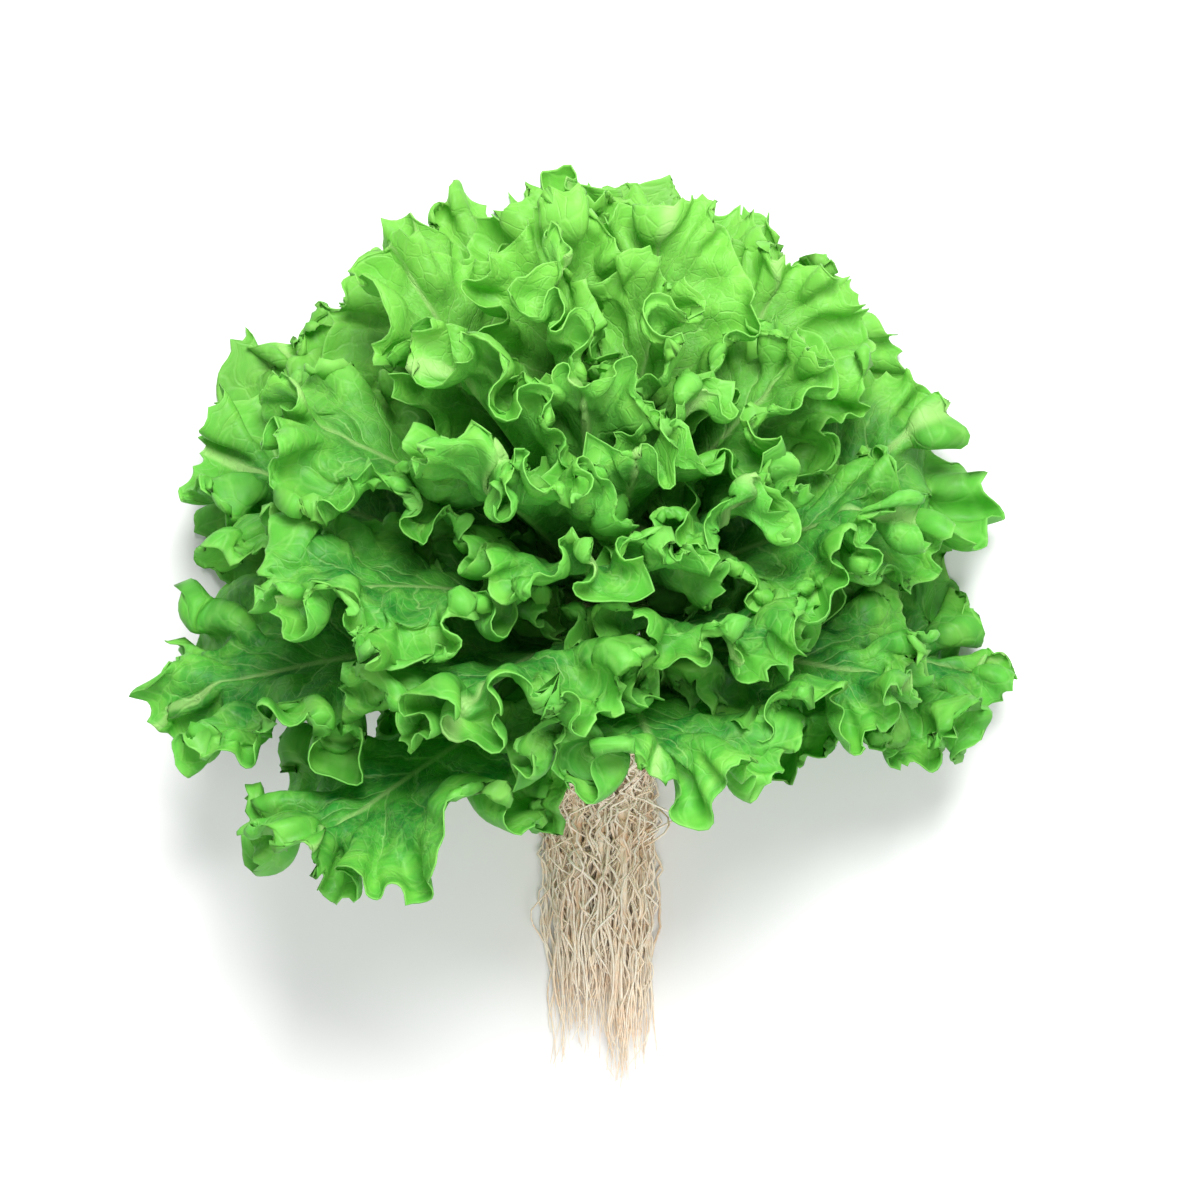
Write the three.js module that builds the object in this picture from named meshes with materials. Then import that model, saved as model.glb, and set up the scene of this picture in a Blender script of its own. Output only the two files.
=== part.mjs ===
// Green leaf lettuce lifted with its roots and laid down on a flat surface.
// Millimetres, +Z up. The stem leans up from the surface towards +Y and the roots trail along it
// towards -Y. Leaves are nested sheets on one spiral, so that an inner leaf never meets an outer one:
// each follows a bowl around the stem, and the bowls on the underside are pressed flat by the surface.
import * as THREE from "three";

const degrees = THREE.MathUtils.degToRad;

// Stem
const STEM_TILT = degrees(33); // the stem's axis above the surface
const CROWN_HEIGHT = 34; // height of the lowest leaf's base above the surface
const STEM_RISE = 34; // distance along the stem from the lowest leaf to the highest
const STEM_RADIUS = 12;
const STEM_FOOT = 16; // stem left below the lowest leaf

// Leaves
const LEAF_COUNT = 34;
const OUTER_COUNT = 12; // the biggest leaves, which carry the head
const HEART_COUNT = 10; // the smallest leaves, at the growing tip
const SPIRAL_STEP = degrees(137.508); // the golden angle between one leaf and the next
const FIRST_LEAF_SIDE = degrees(180); // the lowest leaf lies under the head
const FULL_OPENING = degrees(100); // how far the lowest leaf opens from the stem's axis
const TOP_OPENING_LESS = degrees(20); // the leaves on top of the lying head stay this much more upright
const BASE_REACH = 13.5; // from the axis point to a leaf's base
const HEAD_REACH = 141; // usual distance from the crown to a leaf's tip
const HEAD_DROOP = 20; // leaves under the head reach further by this, those on top less
const HEAD_SLANT = 12; // leaves on the -X side reach further by this, those on the +X side less
const HEAD_SKEW = 6; // and leaves between the sides reach further or less by this, turn about
const OUTER_HALF_WIDTH = 58;
const HEART_HALF_WIDTH = 34;
const PETIOLE_HALF_WIDTH = 8;
const BLADE_THICKNESS = 0.8;
const RIB_THICKNESS = 1.5;
const REST_HEIGHT = 0.25; // the lowest a leaf's middle surface comes to the surface it rests on
const RUFFLE = 4.2; // how far the margin swings to each side of the blade
const SCALLOP = 2; // how far the margin swings in and out of the leaf's outline
const WAVE = degrees(2.4); // shallow folds that all the leaves on one side of the head share

// Roots
const ROOT_CROWN_LENGTH = 9;
const ROOT_LOCK_RADIUS = 3.5;
const ROOT_LOCK_PITCH = 7.6; // between the middles of two neighbouring locks
const ROOT_END_Y = -132; // where the longest lock ends
const GAP = 0.4; // clearance between pieces that touch

// The stem's axis, and the directions across it: up is the side away from the surface.
const axis = new THREE.Vector3(0, Math.cos(STEM_TILT), Math.sin(STEM_TILT));
const up = new THREE.Vector3(0, -Math.sin(STEM_TILT), Math.cos(STEM_TILT));
const side = new THREE.Vector3(1, 0, 0);
const crown = new THREE.Vector3(0, 0, CROWN_HEIGHT);

const plant = new THREE.Group();

function material(name, color, roughness) {
  const made = new THREE.MeshStandardMaterial({ color, roughness, metalness: 0 });
  made.name = name;
  return made;
}

const outerGreen = material("outer_leaf", 0x3f9a3a, 0.55);
const middleGreen = material("middle_leaf", 0x5ab547, 0.52);
const heartGreen = material("heart_leaf", 0x86d45c, 0.5);
const stemPale = material("stem", 0xc9d8a0, 0.6);
const rootCream = material("root", 0xe2d0b4, 0.8);

function add(name, geometry, finish) {
  const mesh = new THREE.Mesh(geometry, finish);
  mesh.name = name;
  plant.add(mesh);
  return mesh;
}

// A closed body from its vertices and quads, each quad turned so that its face points out.
function bodyOf(points, quads) {
  const position = points.flatMap((p) => [p.x, p.y, p.z]);
  const index = quads.flatMap(([a, b, c, d]) => (c === d ? [a, b, c] : [a, b, c, a, c, d]));
  const geometry = new THREE.BufferGeometry();
  geometry.setAttribute("position", new THREE.Float32BufferAttribute(position, 3));
  geometry.setIndex(index);
  geometry.computeVertexNormals();
  return geometry;
}

// ---- Leaves ----

// The opening at which a line from the stem, at this side and distance, meets the surface.
function surfaceOpening(reach, around, rise) {
  const along = Math.sin(STEM_TILT);
  const across = Math.cos(around) * Math.cos(STEM_TILT);
  const steepest = Math.hypot(along, across);
  const drop = (REST_HEIGHT - CROWN_HEIGHT - rise * along) / reach / steepest;
  if (drop <= -1) return Math.PI;
  return Math.atan2(across, along) + Math.acos(Math.min(drop, 1));
}

function softMinimum(a, b, softness) {
  return (a + b - Math.hypot(a - b, softness)) / 2;
}

// How far the lowest leaf could open on this side of the head.
function widestOpening(reach, around, rise) {
  const top = Math.max(Math.cos(around), 0) ** 4;
  const fold = WAVE * Math.sin(9 * around) * Math.min(reach / HEAD_REACH, 1) ** 2;
  const free = FULL_OPENING - TOP_OPENING_LESS * top + fold;
  return softMinimum(free, surfaceOpening(reach, around, rise), degrees(5));
}

// The opening of a leaf, pressed together with its neighbours where the surface is in the way.
function pressedOpening(opening, reach, around, rise) {
  const limit = widestOpening(reach, around, rise);
  const share = opening / FULL_OPENING;
  const pressed = Math.max(1 - limit / FULL_OPENING, 0);
  return limit * (share + 0.8 * pressed * share * (1 - share));
}

// Everything that sets one leaf: rank 0 is the lowest leaf and rank 1 the youngest.
function leafAt(number) {
  const rank = number / (LEAF_COUNT - 1);
  const around = FIRST_LEAF_SIDE + number * SPIRAL_STEP;
  const rise = STEM_RISE * rank;
  const slant = HEAD_SLANT * Math.sin(around) + HEAD_SKEW * Math.sin(2 * around);
  const reach = HEAD_REACH - HEAD_DROOP * Math.cos(around) - slant;
  return {
    rank,
    around,
    rise,
    opening: FULL_OPENING * (1 - rank + 0.03) ** 0.75,
    upright: 0.96 - 0.32 * rank,
    length: reach * (1 - 0.05 * rank) - rise - BASE_REACH,
    halfWidth: THREE.MathUtils.lerp(OUTER_HALF_WIDTH, HEART_HALF_WIDTH, rank),
  };
}

// The point of a leaf's middle surface that lies x across and y along the flat leaf.
function pointOnLeaf(leaf, x, y) {
  const reach = BASE_REACH + y;
  const arch = leaf.upright + (1 - leaf.upright) * (reach / HEAD_REACH) ** 1.4;
  const free = leaf.opening * arch;
  const middle = pressedOpening(free, reach, leaf.around, leaf.rise);
  const around = leaf.around + x / (reach * Math.sin(middle) + 9);
  const opening = pressedOpening(free, reach, around, leaf.rise);
  const out = new THREE.Vector3()
    .addScaledVector(up, Math.cos(around))
    .addScaledVector(side, Math.sin(around));
  const point = crown
    .clone()
    .addScaledVector(axis, leaf.rise + reach * Math.cos(opening))
    .addScaledVector(out, reach * Math.sin(opening));
  point.z = Math.max(point.z, REST_HEIGHT);
  return point;
}

// Half of the flat leaf's outline, from its narrow base to its round tip.
function outlineOf(leaf) {
  const { length, halfWidth } = leaf;
  const outline = new THREE.Path();
  outline.moveTo(PETIOLE_HALF_WIDTH, 0);
  outline.bezierCurveTo(
    PETIOLE_HALF_WIDTH * 1.2, 0.4 * length, halfWidth, 0.36 * length, halfWidth, 0.68 * length,
  );
  outline.bezierCurveTo(halfWidth, 0.88 * length, 0.55 * halfWidth, length, 0, length);
  return outline;
}

// A leaf as a closed sheet. Its columns run from the midrib to the margin, one beside the other
// from the base round the tip and back, and its rows run along the margin.
function leafGeometry(leaf, halfColumns, rows) {
  const outline = outlineOf(leaf);
  const columns = 2 * halfColumns;
  const acrossAt = (row) => 1 - (1 - row / rows) ** 1.5;
  const shareAt = (column) => (1 - Math.abs(column - halfColumns) / halfColumns) ** 0.75;
  const middle = [];
  const thickness = [];
  const at = (column, row) => {
    const mirrored = row === 0 && column > halfColumns ? columns - column : column;
    return mirrored * (rows + 1) + row;
  };
  const flat = (column, row) => {
    const share = shareAt(column);
    const margin = outline.getPointAt(share);
    const ribY = 0.39 * (margin.y + leaf.length * share ** 1.3);
    margin.multiplyScalar(1 + (SCALLOP / leaf.length) * Math.sin(2.4 * column + leaf.around));
    const hand = column < halfColumns ? 1 : -1;
    const across = acrossAt(row);
    return [hand * margin.x * across, THREE.MathUtils.lerp(ribY, margin.y, across)];
  };
  const frill = (column, row) => {
    const swing = column % 2 ? 1 : -1;
    return swing * THREE.MathUtils.smoothstep(shareAt(column), 0.2, 0.6) * acrossAt(row) ** 6;
  };
  for (let column = 0; column <= columns; column++) {
    for (let row = 0; row <= rows; row++) {
      const [x, y] = flat(column, row);
      middle.push(pointOnLeaf(leaf, x, y));
      const rib = (1 - row / rows) ** 2 * (1 - y / leaf.length);
      thickness.push(THREE.MathUtils.lerp(BLADE_THICKNESS, RIB_THICKNESS, rib));
    }
  }
  const ruffle = RUFFLE * (1 - 0.6 * leaf.rank);
  const step = 0.5;
  const outward = [];
  const frills = [];
  for (let column = 0; column <= columns; column++) {
    for (let row = 0; row <= rows; row++) {
      const [x, y] = flat(column, row);
      const acrossLeaf = pointOnLeaf(leaf, x + step, y).sub(pointOnLeaf(leaf, x - step, y));
      const alongLeaf = pointOnLeaf(leaf, x, y + step).sub(pointOnLeaf(leaf, x, y - step));
      outward.push(alongLeaf.cross(acrossLeaf).normalize());
      const room = widestOpening(BASE_REACH + y, leaf.around, leaf.rise) / FULL_OPENING;
      frills.push(frill(column, row) * Math.min(room, 1));
    }
  }
  const count = middle.length;
  const shifted = (hand) =>
    middle.map((p, k) => {
      const q = p.clone().addScaledVector(outward[k], ruffle * frills[k]);
      q.z = Math.max(q.z, REST_HEIGHT);
      q.addScaledVector(outward[k], (hand * thickness[k]) / 2);
      q.z = Math.max(q.z, 0);
      return q;
    });
  const points = [...shifted(1), ...shifted(-1)];
  const quads = [];
  for (let column = 0; column < columns; column++) {
    for (let row = 0; row < rows; row++) {
      const [a, b] = [at(column, row), at(column + 1, row)];
      const [c, d] = [at(column + 1, row + 1), at(column, row + 1)];
      // split so that no face has all its corners along the midrib
      const faces = column < halfColumns ? [[b, c, d], [b, d, a]] : [[a, b, c], [a, c, d]];
      for (const [p, q, r] of faces) {
        quads.push([p, q, r, r]);
        quads.push([r + count, q + count, p + count, p + count]);
      }
    }
  }
  const rim = [];
  for (let row = 0; row < rows; row++) rim.push(at(0, row));
  for (let column = 0; column < columns; column++) rim.push(at(column, rows));
  for (let row = rows; row > 0; row--) rim.push(at(columns, row));
  rim.forEach((a, k) => {
    const b = rim[(k + 1) % rim.length];
    quads.push([a, b, b + count, a + count]);
  });
  return bodyOf(points, quads);
}

function addLeaves() {
  for (let number = 0; number < LEAF_COUNT; number++) {
    const leaf = leafAt(number);
    const label = String(number + 1).padStart(2, "0");
    if (number < OUTER_COUNT) {
      add("outer_leaf_" + label, leafGeometry(leaf, 12, 3), outerGreen);
    } else if (number < LEAF_COUNT - HEART_COUNT) {
      add("middle_leaf_" + label, leafGeometry(leaf, 11, 3), middleGreen);
    } else {
      add("heart_leaf_" + label, leafGeometry(leaf, 8, 3), heartGreen);
    }
  }
}

// ---- Stem and roots ----

// A body turned about the stem's axis from (radius, height along the axis) points.
function turnedOnStem(profile, sides) {
  const geometry = new THREE.LatheGeometry(profile.map(([r, h]) => new THREE.Vector2(r, h)), sides);
  geometry.applyQuaternion(new THREE.Quaternion().setFromUnitVectors(new THREE.Vector3(0, 1, 0), axis));
  return geometry.translate(crown.x, crown.y, crown.z);
}

function addStem() {
  const profile = [
    [0, -STEM_FOOT],
    [0.8 * STEM_RADIUS, -STEM_FOOT],
    [STEM_RADIUS, -0.6 * STEM_FOOT],
    [STEM_RADIUS, -0.2 * STEM_FOOT],
    [0.88 * STEM_RADIUS, 3],
    [0.55 * STEM_RADIUS, 0.75 * STEM_RISE],
    [0, 1.3 * STEM_RISE],
  ];
  add("stem_core", turnedOnStem(profile, 20), stemPale);
}

function addRootCrown() {
  const top = -STEM_FOOT - GAP;
  const profile = [
    [0, top - ROOT_CROWN_LENGTH],
    [1.05 * STEM_RADIUS, top - ROOT_CROWN_LENGTH],
    [STEM_RADIUS, top - 0.5 * ROOT_CROWN_LENGTH],
    [0.8 * STEM_RADIUS, top],
    [0, top],
  ];
  add("root_crown", turnedOnStem(profile, 18), rootCream);
}

// A tapered solid along a curve, with a round section and a closed point at its far end.
function taperedTube(curve, radiusAt, sides, steps) {
  const points = [];
  const quads = [];
  const across = new THREE.Vector3(1, 0, 0);
  for (let step = 0; step < steps; step++) {
    const share = step / steps;
    const centre = curve.getPointAt(share);
    const normal = curve.getTangentAt(share).cross(across).normalize();
    for (let k = 0; k < sides; k++) {
      const turn = (2 * Math.PI * (k + 0.5)) / sides;
      const p = centre
        .clone()
        .addScaledVector(across, radiusAt(share) * Math.cos(turn))
        .addScaledVector(normal, radiusAt(share) * Math.sin(turn));
      p.z = Math.max(p.z, 0);
      points.push(p);
    }
  }
  const start = points.push(curve.getPointAt(0)) - 1;
  const end = points.push(curve.getPointAt(1)) - 1;
  for (let k = 0; k < sides; k++) {
    const next = (k + 1) % sides;
    quads.push([start, next, k, k]);
    for (let step = 0; step < steps - 1; step++) {
      const ring = step * sides;
      quads.push([ring + k, ring + next, ring + sides + next, ring + sides + k]);
    }
    const last = (steps - 1) * sides;
    quads.push([end, last + k, last + next, last + next]);
  }
  return bodyOf(points, quads);
}

// The middle of the root bundle leaves the crown along the stem and settles on the surface.
function rootBundle() {
  const start = crown.clone().addScaledVector(axis, -STEM_FOOT - ROOT_CROWN_LENGTH - 2 * GAP);
  const settled = 9.9;
  return new THREE.CatmullRomCurve3([
    start,
    start.clone().addScaledVector(axis, -7),
    new THREE.Vector3(0, -42, settled + 0.6),
    new THREE.Vector3(0, -62, settled),
    new THREE.Vector3(0.5, -90, settled - 1.2),
    new THREE.Vector3(1, ROOT_END_Y, settled - 4.2),
  ]);
}

// Locks are packed like pipes in a stack: five on the surface, four on those and three on top.
function addRoots() {
  const bundle = rootBundle();
  const rowHeight = (ROOT_LOCK_PITCH * Math.sqrt(3)) / 2;
  let number = 0;
  [5, 4, 3].forEach((count, row) => {
    for (let k = 0; k < count; k++) {
      number += 1;
      const acrossX = (k - (count - 1) / 2) * ROOT_LOCK_PITCH;
      const acrossZ = (row - 1) * rowHeight;
      const endShare = 0.98 - 0.05 * ((number * 5) % 4);
      const spread = (share) => 0.62 + 0.38 * THREE.MathUtils.smoothstep(share, 0, 0.22);
      const thinning = (share) => 1 - 0.42 * THREE.MathUtils.smoothstep(share, 0.45, 1);
      const points = [];
      for (let step = 0; step <= 10; step++) {
        const share = (step / 10) * endShare;
        const tangent = bundle.getTangentAt(share);
        const normal = new THREE.Vector3(1, 0, 0).cross(tangent).normalize().negate();
        const p = bundle.getPointAt(share);
        p.x += acrossX * spread(share) * (1 - 0.12 * THREE.MathUtils.smoothstep(share, 0.5, 1));
        points.push(p.addScaledVector(normal, acrossZ * spread(share) * thinning(share)));
      }
      const radiusAt = (share) =>
        ROOT_LOCK_RADIUS * spread(share * endShare) * thinning(share * endShare);
      const lock = taperedTube(new THREE.CatmullRomCurve3(points), radiusAt, 8, 11);
      add("root_lock_" + String(number).padStart(2, "0"), lock, rootCream);
    }
  });
}

addLeaves();
addStem();
addRootCrown();
addRoots();

// The origin is at the middle of the plant's footprint, on the surface it rests on.
const bounds = new THREE.Box3().setFromObject(plant);
const middle = bounds.getCenter(new THREE.Vector3());
plant.position.set(-middle.x, -middle.y, -bounds.min.z);

export default plant;
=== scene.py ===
"""A green leaf lettuce with its roots, lying on its side on a pale floor, seen from above."""

import math

import bpy
import numpy as np
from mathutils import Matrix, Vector


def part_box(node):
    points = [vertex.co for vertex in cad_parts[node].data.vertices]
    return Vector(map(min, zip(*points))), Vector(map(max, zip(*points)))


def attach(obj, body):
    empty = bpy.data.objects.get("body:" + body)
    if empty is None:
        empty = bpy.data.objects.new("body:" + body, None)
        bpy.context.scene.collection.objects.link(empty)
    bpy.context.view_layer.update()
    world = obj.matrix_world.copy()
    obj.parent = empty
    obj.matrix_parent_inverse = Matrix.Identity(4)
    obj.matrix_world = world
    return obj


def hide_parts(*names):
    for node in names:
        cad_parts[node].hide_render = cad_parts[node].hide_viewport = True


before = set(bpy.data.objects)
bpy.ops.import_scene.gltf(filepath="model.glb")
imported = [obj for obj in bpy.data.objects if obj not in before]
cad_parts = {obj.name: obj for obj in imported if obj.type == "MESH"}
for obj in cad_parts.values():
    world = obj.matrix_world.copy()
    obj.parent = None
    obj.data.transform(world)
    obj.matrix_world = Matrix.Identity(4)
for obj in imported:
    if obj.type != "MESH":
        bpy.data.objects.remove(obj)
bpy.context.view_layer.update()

MM = 0.001

# ---- The plant's layout, in millimetres, the same as in the CAD model ----

STEM_TILT = math.radians(33)
CROWN_HEIGHT = 34.0
STEM_RISE = 34.0
STEM_FOOT = 16.0
STEM_RADIUS = 12.0
LEAF_COUNT = 34
OUTER_COUNT = 12
HEART_COUNT = 10
SPIRAL_STEP = math.radians(137.508)
FULL_OPENING = math.radians(100)
TOP_OPENING_LESS = math.radians(20)
BASE_REACH = 13.5
HEAD_REACH = 141.0
HEAD_DROOP = 20.0
HEAD_SLANT = 12.0
HEAD_SKEW = 6.0
REST_HEIGHT = 0.6
WAVE = math.radians(2.4)
ROOT_CROWN_LENGTH = 9.0
ROOT_LOCK_RADIUS = 3.5
ROOT_LOCK_PITCH = 7.6
ROOT_END_Y = -132.0
ROOT_SETTLED = 9.9  # height of the root bundle's middle where it lies on the floor
OUTER_HALF_WIDTH = 58.0
HEART_HALF_WIDTH = 34.0
OUTER_BASE_HALF_WIDTH = 16.0
HEART_BASE_HALF_WIDTH = 7.0

# ---- What only the shown model has ----

OUTER_COLUMNS = 480  # steps round a leaf's margin
MIDDLE_COLUMNS = 360
HEART_COLUMNS = 200
LARGE_FOLD = 38.0  # length of margin in one large fold of an outer leaf
SMALL_FOLD = 21.0
TOOTH_SPACING = 13.0
TOOTH_LENGTH = 3.9
STRANDS_IN_LOCK = 26
STRANDS_IN_NET = 150

AXIS = np.array([0, math.cos(STEM_TILT), math.sin(STEM_TILT)])
UP = np.array([0, -math.sin(STEM_TILT), math.cos(STEM_TILT)])
SIDE = np.array([1.0, 0, 0])

# The crown lies on the stem's axis, so the CAD stem's own box gives its place.
stem_low, stem_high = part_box("stem_core")
foot_reach = STEM_FOOT * math.cos(STEM_TILT) + 0.8 * STEM_RADIUS * math.sin(STEM_TILT)
CROWN = np.array(
    [(stem_low.x + stem_high.x) / 2 / MM, stem_low.y / MM + foot_reach, CROWN_HEIGHT]
)


def ramp(value, start, end=1.0):
    t = np.clip((value - start) / (end - start), 0, 1)
    return t * t * (3 - 2 * t)


def unit(vectors):
    length = np.linalg.norm(vectors, axis=-1, keepdims=True)
    return vectors / np.maximum(length, 1e-9)


def settle(points, floor=0.15, soft=4.0):
    """Points near the floor are pressed up, so that none goes through it."""
    z = points[..., 2]
    low = z < floor + soft
    pressed = floor + soft * np.exp(np.minimum((z - floor - soft) / soft, 0))
    points[..., 2] = np.where(low, pressed, z)
    return points


class Wander:
    """A smooth random curve: a sum of waves between two wavelengths, with values about -1 to 1."""

    def __init__(self, rng, shortest, longest, waves=6):
        self.rate = 2 * math.pi / rng.uniform(shortest, longest, waves)
        self.phase = rng.uniform(0, 2 * math.pi, waves)

    def __call__(self, s):
        s = np.asarray(s)[..., None]
        return np.sin(s * self.rate + self.phase).mean(-1) * 1.8


class Field:
    """A smooth random field over the flat leaf, with values about -1 to 1."""

    def __init__(self, rng, shortest, longest, waves=14):
        heading = rng.uniform(0, 2 * math.pi, waves)
        rate = 2 * math.pi / rng.uniform(shortest, longest, waves)
        self.kx = rate * np.cos(heading)
        self.ky = rate * np.sin(heading)
        self.phase = rng.uniform(0, 2 * math.pi, waves)

    def __call__(self, x, y):
        total = np.zeros(np.broadcast(x, y).shape)
        for kx, ky, phase in zip(self.kx, self.ky, self.phase):
            total += np.sin(kx * x + ky * y + phase)
        return total / math.sqrt(len(self.kx) / 2) / 1.6


# ---- Leaves ----


def surface_opening(reach, around, rise):
    along = math.sin(STEM_TILT)
    across = np.cos(around) * math.cos(STEM_TILT)
    steepest = np.hypot(along, across)
    drop = (REST_HEIGHT - CROWN_HEIGHT - rise * along) / reach / steepest
    meets = np.arctan2(across, along) + np.arccos(np.clip(drop, -1, 1))
    return np.where(drop <= -1, math.pi, meets)


def widest_opening(reach, around, rise):
    top = np.maximum(np.cos(around), 0) ** 4
    fold = WAVE * np.sin(9 * around) * np.minimum(reach / HEAD_REACH, 1) ** 2
    free = FULL_OPENING - TOP_OPENING_LESS * top + fold
    surface = surface_opening(reach, around, rise)
    return (free + surface - np.hypot(free - surface, math.radians(5))) / 2


def pressed_opening(opening, reach, around, rise):
    limit = widest_opening(reach, around, rise)
    share = opening / FULL_OPENING
    pressed = np.maximum(1 - limit / FULL_OPENING, 0)
    return limit * (share + 0.8 * pressed * share * (1 - share))


def between_ranks(outer, heart, rank):
    return outer + (heart - outer) * rank


class Leaf:
    """One leaf's place on the spiral and its flat shape: rank 0 is the lowest, 1 the youngest."""

    def __init__(self, number):
        self.number = number
        self.rng = np.random.default_rng(100 + number)
        self.rank = number / (LEAF_COUNT - 1)
        self.around = math.pi + number * SPIRAL_STEP
        self.rise = STEM_RISE * self.rank
        reach = HEAD_REACH - HEAD_DROOP * math.cos(self.around)
        reach -= HEAD_SLANT * math.sin(self.around) + HEAD_SKEW * math.sin(2 * self.around)
        self.opening = FULL_OPENING * (1.03 - self.rank) ** 0.75
        self.upright = 0.96 - 0.32 * self.rank
        self.length = reach * (1 - 0.05 * self.rank) - self.rise - BASE_REACH
        self.half_width = between_ranks(OUTER_HALF_WIDTH, HEART_HALF_WIDTH, self.rank)
        self.petiole = between_ranks(OUTER_BASE_HALF_WIDTH, HEART_BASE_HALF_WIDTH, self.rank)
        self.node = "outer_leaf_" if number < OUTER_COUNT else "middle_leaf_"
        if number >= LEAF_COUNT - HEART_COUNT:
            self.node = "heart_leaf_"
        self.slot = self.node[:-1]
        self.node += f"{number + 1:02d}"

    def outline(self, share):
        """Half of the flat leaf's outline at even steps from its base (0) to its tip (1)."""
        w, half, length = self.petiole, self.half_width, self.length
        t = np.linspace(0, 1, 200)[:, None]
        first = bezier(t, (w, 0), (1.5 * w, 0.3 * length), (half, 0.32 * length), (half, 0.68 * length))
        last = bezier(t, (half, 0.68 * length), (half, 0.9 * length), (0.6 * half, length), (0, length))
        path = np.vstack([first, last[1:]])
        step = np.r_[0, np.cumsum(np.linalg.norm(np.diff(path, axis=0), axis=1))]
        self.half_margin = step[-1]
        return np.stack([np.interp(share * step[-1], step, path[:, k]) for k in (0, 1)], -1)

    def place(self, x, y):
        reach = BASE_REACH + y
        arch = self.upright + (1 - self.upright) * (np.maximum(reach, 1) / HEAD_REACH) ** 1.4
        free = self.opening * arch
        middle = pressed_opening(free, reach, self.around, self.rise)
        around = self.around + x / (reach * np.sin(middle) + 9)
        opening = pressed_opening(free, reach, around, self.rise)
        out = np.cos(around)[..., None] * UP + np.sin(around)[..., None] * SIDE
        height = (self.rise + reach * np.cos(opening))[..., None]
        return CROWN + height * AXIS + (reach * np.sin(opening))[..., None] * out


def bezier(t, a, b, c, d):
    a, b, c, d = (np.array(p, float) for p in (a, b, c, d))
    return (1 - t) ** 3 * a + 3 * (1 - t) ** 2 * t * b + 3 * (1 - t) * t**2 * c + t**3 * d


COARSE_ROWS = [0, 0.03, 0.07, 0.12, 0.18, 0.25, 0.33]
MEDIUM_ROWS = [0.4, 0.47, 0.54, 0.6, 0.66]
FINE_ROWS = [0.7, 0.74, 0.78, 0.815, 0.85, 0.88, 0.91, 0.935, 0.957, 0.975, 0.989, 1]
ROWS = np.array(COARSE_ROWS + MEDIUM_ROWS + FINE_ROWS)


def directions(points):
    """Unit directions at each grid point: along the margin, out of the upper face, and outwards."""
    along = np.gradient(points, axis=0)
    outward = np.gradient(points, axis=1)
    normal = np.cross(along, outward)
    normal[:, 0] = normal[:, 1]
    normal = unit(normal)
    along = unit(along)
    along[:, 0] = along[:, 1]
    return along, normal, unit(np.cross(normal, along))


def margin_length(points, row=-1):
    step = np.linalg.norm(np.diff(points[:, row], axis=0), axis=1)
    return np.r_[0, np.cumsum(step)]


def ruffle(points, rows, phase, height, start, loop):
    """Swings the outer part of the leaf to and fro in folds that lean over at their necks."""
    along, normal, _ = directions(points)
    grow = ramp(rows, start)[None, :] ** 1.15
    swing = (height * np.sin(phase))[:, None] * grow
    lean = (height * np.sin(2 * phase))[:, None] * grow * -loop
    return points + swing[..., None] * normal + lean[..., None] * along


def leaf_points(leaf, columns):
    """The middle surface of a leaf as a grid: columns round the margin, rows from midrib to margin."""
    rng = leaf.rng
    across = np.linspace(-1, 1, columns + 1)
    share = (1 - np.abs(across)) ** 0.85
    hand = np.where(across <= 0, 1.0, -1.0)
    margin = leaf.outline(share)
    rib = 0.39 * (margin[:, 1] + leaf.length * share**1.3)
    lobes = Wander(rng, 28, 75)
    s = across * leaf.half_margin
    spread = ramp(share, 0.05, 0.35)
    margin *= (1 + spread * 0.055 * lobes(s))[:, None]
    x = (hand * margin[:, 0])[:, None] * ROWS
    y = rib[:, None] + (margin[:, 1] - rib)[:, None] * ROWS

    points = leaf.place(x, y)
    _, normal, _ = directions(points)
    size = 0.45 + 0.55 * leaf.half_width / OUTER_HALF_WIDTH
    blister = Field(rng, 11, 20)(x, y) * 1.5 + Field(rng, 30, 60)(x, y) * 2.2
    quilt = np.abs(np.sin(math.pi * 9 * across))[:, None] * 1.6
    puffed = ramp(ROWS, 0.02, 0.3) * (blister + quilt * (1 - ramp(ROWS, 0.5)))
    curl = (5.0 * leaf.rank - 3.5) * ramp(ROWS, 0.55) ** 1.5
    points = points + ((puffed + curl) * spread[:, None])[..., None] * normal

    room = float(widest_opening(HEAD_REACH, leaf.around, leaf.rise)) / FULL_OPENING
    room = min(room + 0.1, 1.0)
    first = LARGE_FOLD * size
    phase = 2 * math.pi * (s / first) + 1.6 * Wander(rng, 40, 110)(s)
    height = first * 0.3 * (0.9 + 0.45 * Wander(rng, 45, 100)(s)) * spread * room
    points = ruffle(points, ROWS, phase, height, 0.25, 0.36)

    s = margin_length(points)
    second = SMALL_FOLD * size**0.5
    phase = 2 * math.pi * (s / second) + 1.5 * Wander(rng, 30, 80)(s)
    height = second * 0.23 * (0.85 + 0.55 * Wander(rng, 30, 80)(s)) * spread
    points = ruffle(points, ROWS, phase, height, 0.5, 0.4)

    for _ in range(3):
        points[1:-1] = (points[:-2] + 2 * points[1:-1] + points[2:]) / 4
    s = margin_length(points)

    _, _, outward = directions(points)
    spacing = Wander(rng, 25, 70)(s) * 0.9
    tooth = np.abs(((s / TOOTH_SPACING + spacing) % 1.0) * 2 - 1) ** 2.6
    size_of = TOOTH_LENGTH * np.maximum(0.75 + Wander(rng, 25, 60)(s), 0.15) * spread
    reach = (tooth * size_of)[:, None] * ramp(ROWS, 0.82)
    points = points + reach[..., None] * outward
    return settle(points, 0.8), x, y, np.broadcast_to(across[:, None], x.shape)


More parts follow.
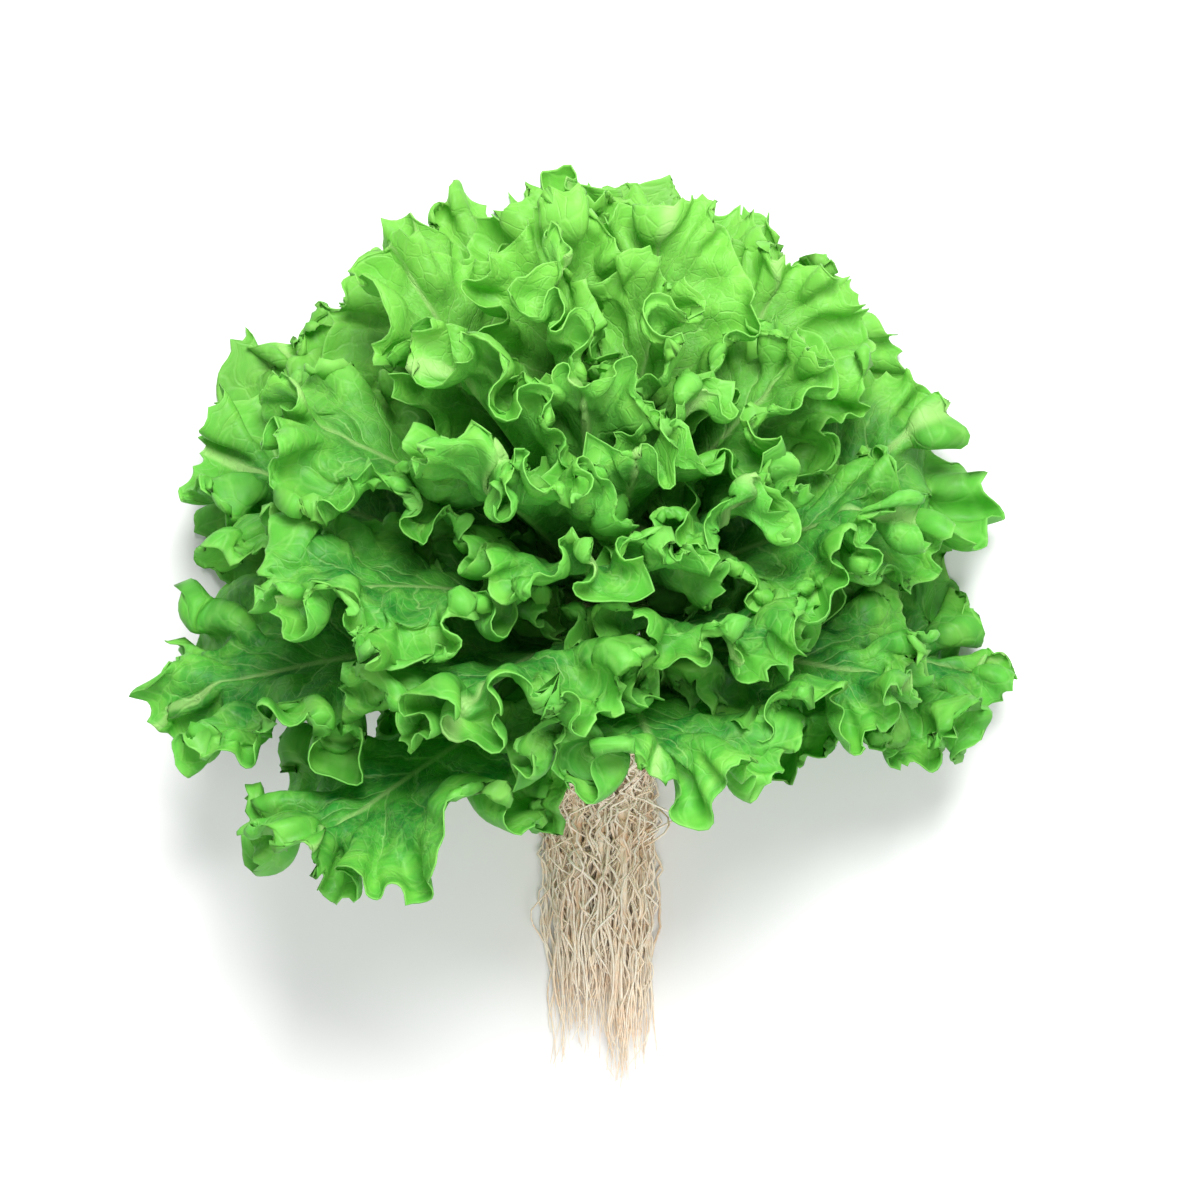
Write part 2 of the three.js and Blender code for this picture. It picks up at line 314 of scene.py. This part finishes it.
def grid_faces(columns):
    """Faces of one side of the leaf, with fewer columns towards the midrib, as vertex numbers."""
    rows = len(ROWS)
    edge = (len(COARSE_ROWS), len(COARSE_ROWS) + len(MEDIUM_ROWS))
    faces = []

    def at(column, row):
        if row == 0:
            column = min(column, columns - column)
        return column * rows + row

    for row in range(rows - 1):
        stride = 4 if row < edge[0] - 1 else 2 if row < edge[1] - 1 else 1
        finer = 4 if row + 1 < edge[0] - 1 else 2 if row + 1 < edge[1] - 1 else 1
        for column in range(0, columns, stride):
            face = [at(column, row), at(column + stride, row), at(column + stride, row + 1)]
            if finer < stride:
                face.append(at(column + stride // 2, row + 1))
            face.append(at(column, row + 1))
            faces.append(face)
    rim = [at(0, row) for row in range(rows - 1)]
    rim += [at(column, rows - 1) for column in range(columns)]
    rim += [at(columns, row) for row in range(rows - 1, 0, -1)]
    return faces, rim


def make_leaf(leaf, columns, finish):
    points, x, y, across = leaf_points(leaf, columns)
    _, normal, _ = directions(points)
    rib_width = 1.2 + 3.6 * np.clip(1 - y / leaf.length, 0, 1) ** 1.2
    rib = np.exp(-((x / rib_width) ** 2)) * (1 - 0.85 * y / leaf.length)
    thick = (0.62 - 0.2 * ROWS)[None, :] + 0 * x
    upper = points + normal * (thick / 2)[..., None]
    lower = points - normal * (thick / 2 + 3.2 * rib * (1 - 0.5 * leaf.rank))[..., None]
    lower = settle(lower, 0.05, 0.5)
    upper[..., 2] = np.maximum(upper[..., 2], lower[..., 2] + 0.2)
    count = points.shape[0] * points.shape[1]
    faces, rim = grid_faces(columns)
    under = [[k + count for k in reversed(face)] for face in faces]
    wall = []
    for k, a in enumerate(rim):
        b = rim[(k + 1) % len(rim)]
        wall.append([a, b, b + count, a + count])
    every = faces + under + wall
    used = np.zeros(2 * count, bool)
    for face in every:
        used[face] = True
    number = np.cumsum(used) - 1
    vertices = np.concatenate([upper.reshape(-1, 3), lower.reshape(-1, 3)])[used]
    every = [[int(number[k]) for k in face] for face in every]
    fan = np.stack([across, np.broadcast_to(ROWS, x.shape), 0 * x], -1).reshape(-1, 3)
    below = fan + np.array([0, 0, 1.0])
    flat = np.stack([x, y, 0 * x + leaf.number * 300.0], -1).reshape(-1, 3)
    return add_mesh(
        leaf.node.replace("_leaf_", "_blade_"),
        vertices,
        every,
        finish,
        {
            "fan": np.concatenate([fan, below])[used],
            "flat": np.concatenate([flat, flat])[used],
            "young": np.full(int(used.sum()), leaf.rank),
        },
    )


def add_mesh(name, vertices, faces, finish, attributes=None):
    mesh = bpy.data.meshes.new(name)
    mesh.from_pydata((vertices * MM).tolist(), [], faces)
    mesh.polygons.foreach_set("use_smooth", np.ones(len(mesh.polygons), bool))
    for key, values in (attributes or {}).items():
        kind = "FLOAT" if values.ndim == 1 else "FLOAT_VECTOR"
        layer = mesh.attributes.new(key, kind, "POINT")
        field = "value" if values.ndim == 1 else "vector"
        layer.data.foreach_set(field, np.ascontiguousarray(values, np.float32).ravel())
    mesh.materials.append(finish)
    mesh.update()
    made = bpy.data.objects.new(name, mesh)
    bpy.context.scene.collection.objects.link(made)
    return made


# ---- Materials ----


class Nodes:
    """Short forms for building one material's node tree."""

    def __init__(self, name):
        self.material = bpy.data.materials.new(name)
        self.material.use_nodes = True
        self.tree = self.material.node_tree
        self.tree.nodes.clear()

    def add(self, kind, **settings):
        node = self.tree.nodes.new(kind)
        for key, value in settings.items():
            setattr(node, key, value)
        return node

    def put(self, socket, value):
        if hasattr(value, "is_output"):
            self.tree.links.new(value, socket)
        else:
            socket.default_value = value

    def math(self, operation, a, b=0.0, c=0.0, clamp=False):
        node = self.add("ShaderNodeMath", operation=operation, use_clamp=clamp)
        for socket, value in zip(node.inputs, (a, b, c)):
            self.put(socket, value)
        return node.outputs[0]

    def between(self, value, low, high, start=0.0, end=1.0):
        node = self.add("ShaderNodeMapRange", interpolation_type="SMOOTHSTEP")
        names = ("Value", "From Min", "From Max", "To Min", "To Max")
        for name, setting in zip(names, (value, low, high, start, end)):
            self.put(node.inputs[name], setting)
        return node.outputs["Result"]

    def mix(self, share, a, b, blend="MIX"):
        node = self.add("ShaderNodeMix", data_type="RGBA", blend_type=blend)
        self.put(node.inputs[0], share)
        self.put(node.inputs[6], a)
        self.put(node.inputs[7], b)
        return node.outputs[2]

    def noise(self, vector, scale, detail=3.0, roughness=0.55):
        node = self.add("ShaderNodeTexNoise")
        self.put(node.inputs["Vector"], vector)
        node.inputs["Scale"].default_value = scale
        node.inputs["Detail"].default_value = detail
        node.inputs["Roughness"].default_value = roughness
        return node.outputs["Fac"]

    def cells(self, vector, scale):
        node = self.add("ShaderNodeTexVoronoi", feature="DISTANCE_TO_EDGE")
        self.put(node.inputs["Vector"], vector)
        node.inputs["Scale"].default_value = scale
        return node.outputs["Distance"]

    def attribute(self, name, output="Vector"):
        return self.add("ShaderNodeAttribute", attribute_name=name).outputs[output]

    def split(self, vector):
        node = self.add("ShaderNodeSeparateXYZ")
        self.put(node.inputs[0], vector)
        return node.outputs

    def join(self, x, y, z=0.0):
        node = self.add("ShaderNodeCombineXYZ")
        for socket, value in zip(node.inputs, (x, y, z)):
            self.put(socket, value)
        return node.outputs[0]


def rgb(r, g, b):
    """A display colour, 0 to 255, as linear light."""
    linear = [((c / 255 + 0.055) / 1.055) ** 2.4 if c > 10 else c / 255 / 12.92 for c in (r, g, b)]
    return (*linear, 1.0)


def leaf_material():
    n = Nodes("leaf")
    across, out, below = n.split(n.attribute("fan"))
    flat = n.attribute("flat")
    flat_x, flat_y, _ = n.split(flat)
    young = n.attribute("young", "Fac")
    turned = n.math("ABSOLUTE", across)
    drift = n.noise(flat, 0.06)
    fine = n.noise(flat, 0.35, 4.0)

    # main veins run from the midrib to the margin, thinner as they go
    wobble = n.math("MULTIPLY_ADD", drift, 0.9, n.math("MULTIPLY", turned, 9.0))
    lane = n.math("ABSOLUTE", n.math("SUBTRACT", n.math("FRACT", wobble), 0.5))
    width = n.math("DIVIDE", 0.022, n.math("ADD", out, 0.1))
    main_vein = n.math("SUBTRACT", 1.0, n.between(lane, 0.0, width))
    main_vein = n.math("MULTIPLY", main_vein, n.between(out, 0.95, 0.45, 0.25, 1.0))
    # branches between them, and the fine net
    branch_at = n.join(
        n.math("MULTIPLY_ADD", drift, 3.0, n.math("MULTIPLY", turned, 46.0)),
        n.math("MULTIPLY", out, 9.0),
        0.0,
    )
    branch = n.math("SUBTRACT", 1.0, n.between(n.cells(branch_at, 1.0), 0.0, 0.09))
    net = n.math("SUBTRACT", 1.0, n.between(n.cells(flat, 0.3), 0.0, 0.12))
    midrib_width = n.math("MULTIPLY_ADD", flat_y, -0.028, 4.4)
    midrib = n.math(
        "SUBTRACT", 1.0, n.between(n.math("ABSOLUTE", flat_x), 0.3, n.math("MAXIMUM", midrib_width, 0.9))
    )

    deep = rgb(0, 92, 38)
    green = rgb(30, 132, 46)
    lime = rgb(108, 200, 70)
    yellow_green = rgb(150, 218, 92)
    pale = rgb(190, 242, 146)
    white_green = rgb(180, 222, 136)
    blade = n.mix(n.between(fine, 0.3, 0.7), deep, green)
    blade = n.mix(n.between(drift, 0.3, 0.75, 0.0, 0.55), blade, lime)
    blade = n.mix(n.between(young, 0.15, 1.0, 0.0, 0.4), blade, lime)
    # lighter lime towards the margin: partly the frilly margin's own paler colour, partly painted shade that
    # keeps the inner part of each leaf, deep in the head, darker
    frill_and_inner_shade = n.math("MULTIPLY", n.between(out, 0.42, 1.0), n.between(fine, 0.15, 0.8, 0.45, 0.85))
    blade = n.mix(frill_and_inner_shade, blade, lime)
    mottle = n.between(n.noise(flat, 0.16, 3.0, 0.6), 0.42, 0.68)
    blade = n.mix(n.math("MULTIPLY", mottle, n.between(out, 0.2, 0.9, 0.15, 0.4)), blade, yellow_green)
    # painted top light: leaves lying further towards +Y, the top of the view where the key lamp stands, are
    # tinted yellow-green
    _, painted_light_y, _ = n.split(n.add("ShaderNodeTexCoord").outputs["Object"])
    blade = n.mix(n.between(painted_light_y, 0.02, 0.13, 0.0, 0.5), blade, yellow_green)
    blade = n.mix(n.math("MULTIPLY", net, 0.04), blade, pale)
    blade = n.mix(n.math("MULTIPLY", branch, 0.1), blade, pale)
    blade = n.mix(n.math("MULTIPLY", main_vein, 0.3), blade, pale)
    # painted rim highlight: a thin pale line along the leaf's margin
    blade = n.mix(n.math("MULTIPLY", n.between(out, 0.97, 1.0), 0.16), blade, pale)
    blade = n.mix(n.math("MULTIPLY", below, 0.22), blade, rgb(112, 200, 92))
    base = n.between(flat_y, 34.0, 4.0)
    blade = n.mix(n.math("MULTIPLY", base, 0.8), blade, white_green)
    blade = n.mix(n.math("MULTIPLY", midrib, 0.6), blade, white_green)

    relief = n.math("MULTIPLY_ADD", main_vein, -0.55, n.math("MULTIPLY", fine, 0.7))
    relief = n.math("MULTIPLY_ADD", branch, -0.25, relief)
    relief = n.math("MULTIPLY_ADD", net, -0.08, relief)
    bump = n.add("ShaderNodeBump")
    bump.inputs["Strength"].default_value = 0.55
    bump.inputs["Distance"].default_value = 0.0009
    n.put(bump.inputs["Height"], relief)

    surface = n.add("ShaderNodeBsdfPrincipled")
    n.put(surface.inputs["Base Color"], blade)
    n.put(surface.inputs["Roughness"], n.between(fine, 0.2, 0.8, 0.36, 0.56))
    surface.inputs["IOR"].default_value = 1.38
    surface.inputs["Specular IOR Level"].default_value = 0.35
    n.put(surface.inputs["Normal"], bump.outputs[0])
    through = n.add("ShaderNodeBsdfTranslucent")
    n.put(through.inputs["Color"], n.mix(0.6, blade, rgb(104, 224, 56)))
    both = n.add("ShaderNodeMixShader")
    both.inputs[0].default_value = 0.3
    n.tree.links.new(surface.outputs[0], both.inputs[1])
    n.tree.links.new(through.outputs[0], both.inputs[2])
    output = n.add("ShaderNodeOutputMaterial")
    n.tree.links.new(both.outputs[0], output.inputs["Surface"])
    return n.material


def fibre_material(name, dark, mid, light, scale):
    n = Nodes(name)
    place = n.add("ShaderNodeTexCoord").outputs["Object"]
    tone = n.noise(place, scale, 4.0)
    grain = n.noise(place, scale * 7, 3.0)
    colour = n.mix(n.between(tone, 0.3, 0.7), dark, mid)
    colour = n.mix(n.between(grain, 0.35, 0.75, 0.0, 0.8), colour, light)
    strand = n.attribute("strand", "Fac")
    colour = n.mix(n.math("MULTIPLY", strand, 0.65), colour, light)
    bump = n.add("ShaderNodeBump")
    bump.inputs["Strength"].default_value = 0.5
    bump.inputs["Distance"].default_value = 0.0004
    n.put(bump.inputs["Height"], grain)
    surface = n.add("ShaderNodeBsdfPrincipled")
    n.put(surface.inputs["Base Color"], colour)
    n.put(surface.inputs["Roughness"], n.between(grain, 0.2, 0.8, 0.5, 0.75))
    n.put(surface.inputs["Normal"], bump.outputs[0])
    output = n.add("ShaderNodeOutputMaterial")
    n.tree.links.new(surface.outputs[0], output.inputs["Surface"])
    return n.material


# ---- Stem and roots ----


def turned_on_stem(profile, sides, rough, rng):
    turns = np.linspace(0, 2 * math.pi, sides, endpoint=False)
    rings = []
    wobble = Wander(rng, 1.2, 3.0)
    for radius, height in profile:
        swell = 1 + rough * wobble(turns + height * 0.3)
        out = np.cos(turns)[:, None] * UP + np.sin(turns)[:, None] * SIDE
        rings.append(CROWN + height * AXIS + (radius * swell)[:, None] * out)
    first = CROWN + profile[0][1] * AXIS
    last = CROWN + profile[-1][1] * AXIS
    vertices = np.vstack(rings + [first[None], last[None]])
    faces = []
    total = len(profile) * sides
    for k in range(sides):
        after = (k + 1) % sides
        faces.append([total, k, after])
        faces.append([total + 1, total - sides + after, total - sides + k])
        for ring in range(len(profile) - 1):
            a = ring * sides
            faces.append([a + k, a + sides + k, a + sides + after, a + after])
    return vertices, [face[::-1] for face in faces]


def tubes(paths, radii, sides):
    """Many closed tubes as one mesh: paths is strands x steps x 3, radii is strands x steps."""
    strands, steps = radii.shape
    tangent = unit(np.gradient(paths, axis=1))
    first = unit(np.cross(tangent, np.array([0.3, 0.2, 1.0])))
    second = np.cross(tangent, first)
    turns = np.linspace(0, 2 * math.pi, sides, endpoint=False)
    ring = (
        first[:, :, None] * np.cos(turns)[None, None, :, None]
        + second[:, :, None] * np.sin(turns)[None, None, :, None]
    )
    vertices = (paths[:, :, None] + ring * radii[:, :, None, None]).reshape(-1, 3)
    faces = []
    for strand in range(strands):
        base = strand * steps * sides
        faces.append([base + k for k in range(sides)])
        end = base + (steps - 1) * sides
        faces.append([end + k for k in reversed(range(sides))])
        for step in range(steps - 1):
            a = base + step * sides
            for k in range(sides):
                after = (k + 1) % sides
                faces.append([a + k, a + sides + k, a + sides + after, a + after])
    return vertices, [face[::-1] for face in faces]


def catmull(points, shares):
    """A smooth curve through the points, at shares of its length."""
    points = np.array(points, float)
    whole = np.vstack([2 * points[0] - points[1], points, 2 * points[-1] - points[-2]])
    fine = []
    for k in range(1, len(whole) - 2):
        t = np.linspace(0, 1, 24, endpoint=False)[:, None]
        a, b, c, d = whole[k - 1 : k + 3]
        fine.append(
            0.5 * (2 * b + (c - a) * t + (2 * a - 5 * b + 4 * c - d) * t**2 + (3 * b - a - 3 * c + d) * t**3)
        )
    fine = np.vstack(fine + [points[-1:]])
    step = np.r_[0, np.cumsum(np.linalg.norm(np.diff(fine, axis=0), axis=1))]
    return np.stack([np.interp(shares * step[-1], step, fine[:, k]) for k in range(3)], -1)


def root_bundle(shares):
    start = CROWN - (STEM_FOOT + ROOT_CROWN_LENGTH + 0.8) * AXIS
    local = np.array([CROWN[0], CROWN[1], 0])
    path = [
        start,
        start - 7 * AXIS,
        local + [0, -42, ROOT_SETTLED + 0.6],
        local + [0, -62, ROOT_SETTLED],
        local + [0.5, -90, ROOT_SETTLED - 1.2],
        local + [1, ROOT_END_Y, ROOT_SETTLED - 4.2],
    ]
    return catmull(path, shares)


def bundle_frame(shares):
    centre = root_bundle(shares)
    tangent = unit(np.gradient(centre, axis=0))
    normal = -unit(np.cross(SIDE[None], tangent))
    return centre, normal


def lock_spread(share):
    return 0.62 + 0.38 * ramp(share, 0, 0.22)


def lock_thinning(share):
    return 1 - 0.42 * ramp(share, 0.45, 1)


def make_lock(number, across_x, across_z, finish):
    """A lock of the roots: separate strands round a thin core, looser towards the crown."""
    rng = np.random.default_rng(500 + number)
    steps = 44
    end = 0.98 - 0.05 * ((number * 5) % 4)
    shares = np.linspace(-0.05, 1, steps)
    inside = np.clip(shares, 0, 1)
    all_paths = []
    all_radii = []
    for _ in range(STRANDS_IN_LOCK):
        reach_end = end * rng.uniform(0.82, 1.13)
        s = shares * reach_end
        centre, normal = bundle_frame(np.clip(s, 0, 1))
        centre = centre - np.maximum(s - 1, 0)[:, None] * 118 * np.array([0, 1, 0])
        spread = lock_spread(s)
        thin = lock_thinning(s)
        turn = rng.uniform(0, 2 * math.pi)
        spot = ROOT_LOCK_RADIUS * math.sqrt(rng.uniform(0.05, 1)) * 1.3
        loose = 1.0 + 1.9 * (rng.random() < 0.2)
        length = 110.0 * inside
        tangle = 1 - ramp(inside, 0.25, 0.8)
        sway = (1.3 + 1.9 * tangle) * loose
        dx = spot * math.cos(turn) + sway * Wander(rng, 16, 60)(length)
        dx = dx + 1.6 * tangle * Wander(rng, 6, 13)(length)
        dz = spot * math.sin(turn) + sway * Wander(rng, 16, 60)(length)
        dz = dz + 1.6 * tangle * Wander(rng, 6, 13)(length)
        side = across_x * spread * (1 - 0.12 * ramp(s, 0.5, 1)) + dx * spread
        lift = across_z * spread * thin + dz * spread * thin
        path = centre + side[:, None] * SIDE + lift[:, None] * normal
        thickness = rng.uniform(0.24, 0.5) * (1 - 0.7 * ramp(inside, 0.7, 1))
        all_paths.append(settle(path, 0.45, 2.0))
        all_radii.append(thickness)
    fibres, faces = tubes(np.array(all_paths), np.array(all_radii), 4)
    tones = np.repeat(rng.uniform(0, 1, STRANDS_IN_LOCK), steps * 4)
    s = np.linspace(0.0, 0.78, 30)
    centre, normal = bundle_frame(s * end)
    side = across_x * lock_spread(s * end) * (1 - 0.12 * ramp(s * end, 0.5, 1))
    lift = across_z * lock_spread(s * end) * lock_thinning(s * end)
    core = settle(centre + side[:, None] * SIDE + lift[:, None] * normal, 1.6, 1.0)
    girth = 0.5 * ROOT_LOCK_RADIUS * lock_spread(s * end) * lock_thinning(s * end)
    girth = girth * (1 - 0.9 * ramp(s, 0.35, 0.78))
    core_vertices, core_faces = tubes(core[None], girth[None], 10)
    core_vertices = settle(core_vertices, 0.1, 0.5)
    start = len(fibres)
    faces = faces + [[k + start for k in face] for face in core_faces]
    vertices = np.vstack([fibres, core_vertices])
    tones = np.r_[tones, np.zeros(len(core_vertices))]
    return add_mesh(f"root_strands_{number:02d}", vertices, faces, finish, {"strand": tones})


def make_root_crown(finish):
    """The netted top of the roots: fine roots that loop round the crown before they hang down."""
    rng = np.random.default_rng(77)
    profile = [(11.6, -25.2), (12.2, -23.5), (12.0, -21), (11.4, -18.5), (9.6, -16.4)]
    body, faces = turned_on_stem(profile, 40, 0.05, rng)
    strands, steps = STRANDS_IN_NET, 40
    paths = []
    for _ in range(strands):
        turn = rng.uniform(0, 2 * math.pi) + np.linspace(0, rng.uniform(-1.6, 1.6), steps)
        share = np.linspace(0, 1, steps)
        drop = 15.5 + rng.uniform(0, 4) + share * rng.uniform(12, 62)
        length = share * 60
        swell = 11.5 + 5.5 * np.sin(np.clip((drop - 15) / 30, 0, 1) * math.pi * 0.8)
        radius = swell + rng.uniform(-0.6, 1.8) + 1.2 * Wander(rng, 7, 18)(length)
        turn = turn + 0.16 * Wander(rng, 7, 16)(length)
        out = np.cos(turn)[:, None] * UP + np.sin(turn)[:, None] * SIDE
        path = CROWN - drop[:, None] * AXIS + radius[:, None] * out
        paths.append(settle(path, 0.5, 3.0))
    radii = rng.uniform(0.24, 0.48, (strands, 1)) * np.ones((1, steps))
    net, net_faces = tubes(np.array(paths), radii, 4)
    start = len(body)
    vertices = np.vstack([body, net])
    faces = faces + [[k + start for k in face] for face in net_faces]
    tones = np.r_[np.zeros(start), np.repeat(rng.uniform(0, 1, strands), steps * 4)]
    return add_mesh("root_net", vertices, faces, finish, {"strand": tones})


def declare(piece, node):
    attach(piece, "root")
    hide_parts(node)


leaf_finish = leaf_material()
root_finish = fibre_material("root", rgb(240, 202, 162), rgb(255, 234, 204), rgb(255, 250, 236), 60.0)
stem_finish = fibre_material("stem", rgb(150, 176, 96), rgb(196, 212, 148), rgb(226, 232, 190), 40.0)

for number in range(LEAF_COUNT):
    leaf = Leaf(number)
    columns = OUTER_COLUMNS if number < OUTER_COUNT else MIDDLE_COLUMNS
    if number >= LEAF_COUNT - HEART_COUNT:
        columns = HEART_COLUMNS
    declare(make_leaf(leaf, columns, leaf_finish), leaf.node)

stem_profile = [(9.6, -16), (12, -9.6), (12, -3.2), (10.6, 3), (6.6, 25.5), (1.5, 43), (0.3, 44.2)]
stem_vertices, stem_faces = turned_on_stem(stem_profile, 40, 0.03, np.random.default_rng(5))
stem = add_mesh(
    "stem_body", stem_vertices, stem_faces, stem_finish, {"strand": np.zeros(len(stem_vertices))}
)
declare(stem, "stem_core")
declare(make_root_crown(root_finish), "root_crown")

row_height = ROOT_LOCK_PITCH * math.sqrt(3) / 2
lock = 0
for row, count in enumerate((5, 4, 3)):
    for k in range(count):
        lock += 1
        across = (k - (count - 1) / 2) * ROOT_LOCK_PITCH
        piece = make_lock(lock, across, (row - 1) * row_height, root_finish)
        declare(piece, f"root_lock_{lock:02d}")

# ---- Floor, light and camera ----

bpy.ops.mesh.primitive_plane_add(size=6, location=(0, 0, -0.0002))
floor = bpy.context.object
floor.name = "floor"
paper = Nodes("floor")
shade = paper.add("ShaderNodeBsdfPrincipled")
shade.inputs["Base Color"].default_value = (0.86, 0.86, 0.86, 1)
shade.inputs["Roughness"].default_value = 0.8
paper.tree.links.new(shade.outputs[0], paper.add("ShaderNodeOutputMaterial").inputs["Surface"])
floor.data.materials.append(paper.material)


def lamp(name, place, target, size, power):
    data = bpy.data.lights.new(name, "AREA")
    data.shape = "DISK"
    data.size = size
    data.energy = power
    made = bpy.data.objects.new(name, data)
    bpy.context.scene.collection.objects.link(made)
    made.location = place
    toward = np.array(target) - np.array(place)
    made.rotation_euler = Vector(toward).to_track_quat("-Z", "Y").to_euler()


lamp("key", (0.1, 0.7, 1.15), (0, 0.03, 0.06), 0.7, 27)
lamp("fill", (0.2, -0.7, 1.1), (0, -0.08, 0.03), 0.9, 8)
world = bpy.data.worlds.new("studio")
bpy.context.scene.world = world
world.use_nodes = True
world.node_tree.nodes["Background"].inputs[0].default_value = (1, 1, 1, 1)
world.node_tree.nodes["Background"].inputs[1].default_value = 0.45

camera_data = bpy.data.cameras.new("camera")
camera = bpy.data.objects.new("camera", camera_data)
bpy.context.scene.collection.objects.link(camera)
CAMERA_HEIGHT = 1.35
FRAME_WIDTH = 0.388
FOCUS_HEIGHT = 0.05
camera_data.sensor_width = 36
camera_data.lens = 36 * (CAMERA_HEIGHT - FOCUS_HEIGHT) / FRAME_WIDTH
camera.location = (CROWN[0] * MM, CROWN[1] * MM + 0.019, CAMERA_HEIGHT)
camera_data.clip_start = 0.05
camera_data.clip_end = 20
bpy.context.scene.camera = camera
bpy.context.scene.view_settings.view_transform = "Standard"
